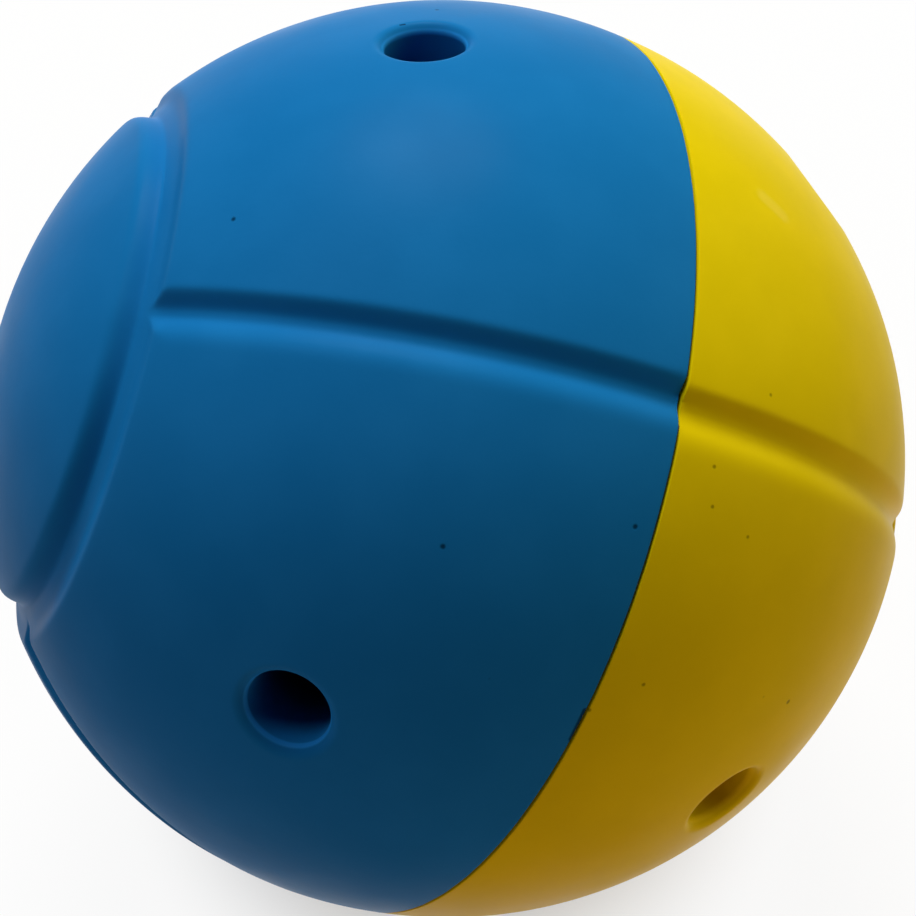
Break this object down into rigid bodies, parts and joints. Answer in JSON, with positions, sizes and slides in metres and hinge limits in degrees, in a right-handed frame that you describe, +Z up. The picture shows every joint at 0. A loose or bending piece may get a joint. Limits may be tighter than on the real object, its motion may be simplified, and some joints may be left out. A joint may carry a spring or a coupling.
{
  "type": "foam ball",
  "caption": "Hollow two-tone foam ball of glued half shells, with raised pole caps inside coved rings, straight grooves and lipped air holes that go right through it.",
  "frame": {"origin": "centre of the ball", "axes": "+Z up along the through-going hole that faces straight up, so the ball lies on the rim of the hole under it; the blue pole points to -X and upwards, the yellow pole to +X and downwards; the seam plane holds the Y axis"},
  "size_m": [0.0768, 0.076, 0.076],
  "materials": {
    "blue_foam": "satin moulded foam skin",
    "yellow_foam": "satin moulded foam skin",
    "adhesive": "dark contact adhesive"
  },
  "bodies": {
    "root": {"blue_half": "blue_foam", "yellow_half": "yellow_foam", "seam_bond": "adhesive"}
  },
  "joints": []
}
